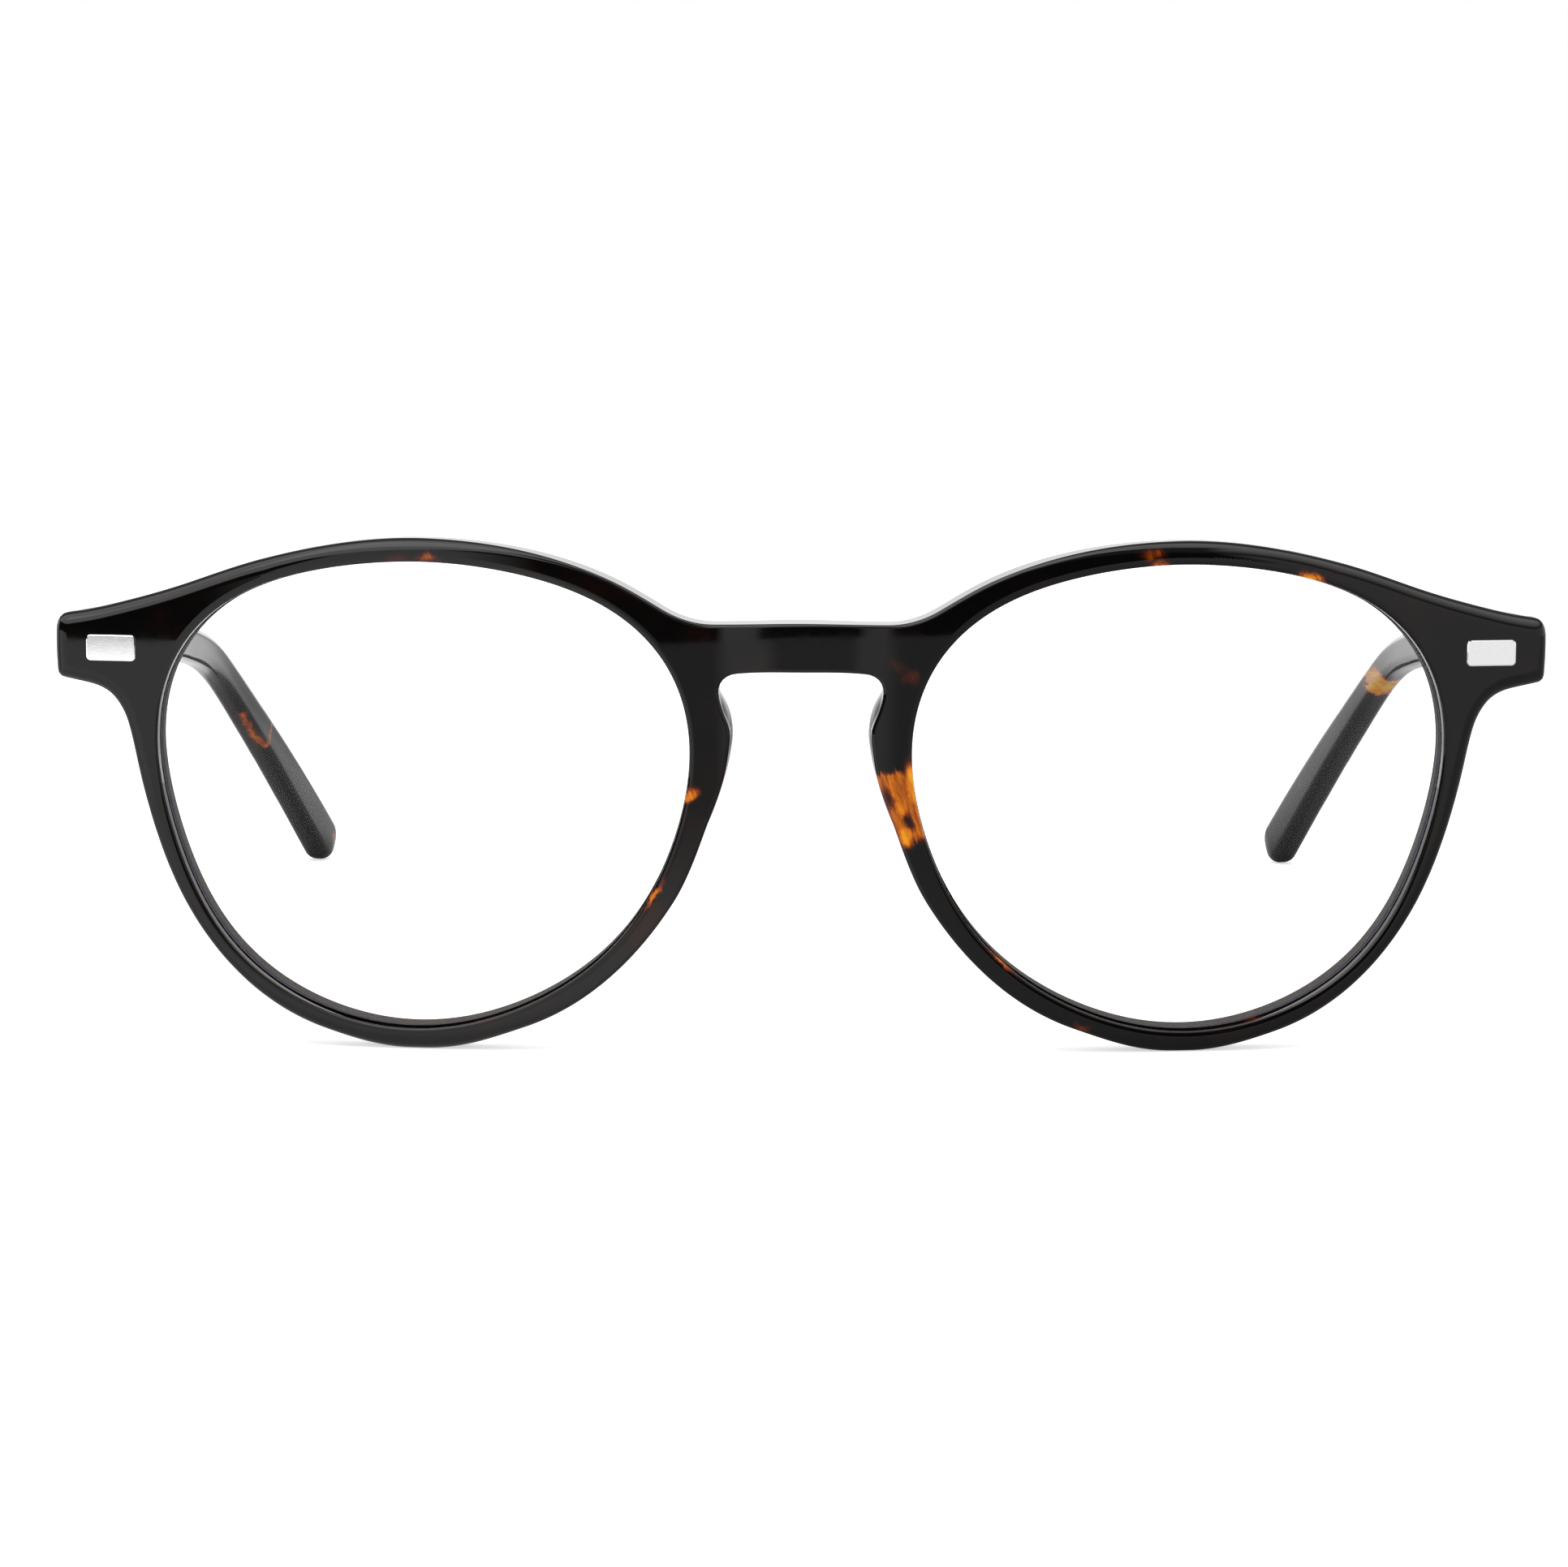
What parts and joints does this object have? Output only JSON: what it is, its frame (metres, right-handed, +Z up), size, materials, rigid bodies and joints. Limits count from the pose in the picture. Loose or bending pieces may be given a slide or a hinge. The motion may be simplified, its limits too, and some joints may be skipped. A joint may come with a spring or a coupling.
{
  "type": "eyeglasses",
  "caption": "Round acetate eyeglasses in dark tortoise with a keyhole bridge, clear lenses, small metal plaques at the endpieces and folding temples on barrel hinges.",
  "frame": {"origin": "on the table, under the middle of the open glasses' box", "axes": "+Z up, -Y the way the front faces, +Y along the temples to their tips, +X to the wearer's left"},
  "size_m": [0.1384, 0.1414, 0.0473],
  "materials": {
    "tortoise_acetate": "polished dark tortoise with amber patches",
    "pad_acetate": "polished",
    "clear_lens": "clear, polished",
    "polished_metal": "mirror polished",
    "nickel_silver": "milled, satin",
    "screw_steel": "turned, bright",
    "core_steel": "drawn wire"
  },
  "bodies": {
    "front": {"front_frame": "tortoise_acetate", "nose_pad_left": "pad_acetate", "nose_pad_right": "pad_acetate", "lens_left": "clear_lens", "lens_right": "clear_lens", "plaque_left": "polished_metal", "plaque_right": "polished_metal", "hinge_front_left": "nickel_silver", "hinge_front_right": "nickel_silver", "hinge_screw_left": "screw_steel", "hinge_screw_right": "screw_steel"},
    "left_temple": {"temple_left": "tortoise_acetate", "temple_core_left": "core_steel", "hinge_temple_left": "nickel_silver"},
    "right_temple": {"temple_right": "tortoise_acetate", "temple_core_right": "core_steel", "hinge_temple_right": "nickel_silver"}
  },
  "joints": [
    {"name": "left_temple_fold", "type": "hinge", "parent": "front", "child": "left_temple", "pos_m": [0.06264, -0.05752, 0.0366], "axis": [0, 0, 1], "range_deg": [0, 87]},
    {"name": "right_temple_fold", "type": "hinge", "parent": "front", "child": "right_temple", "pos_m": [-0.06264, -0.05752, 0.0366], "axis": [0, 0, -1], "range_deg": [0, 80]}
  ]
}
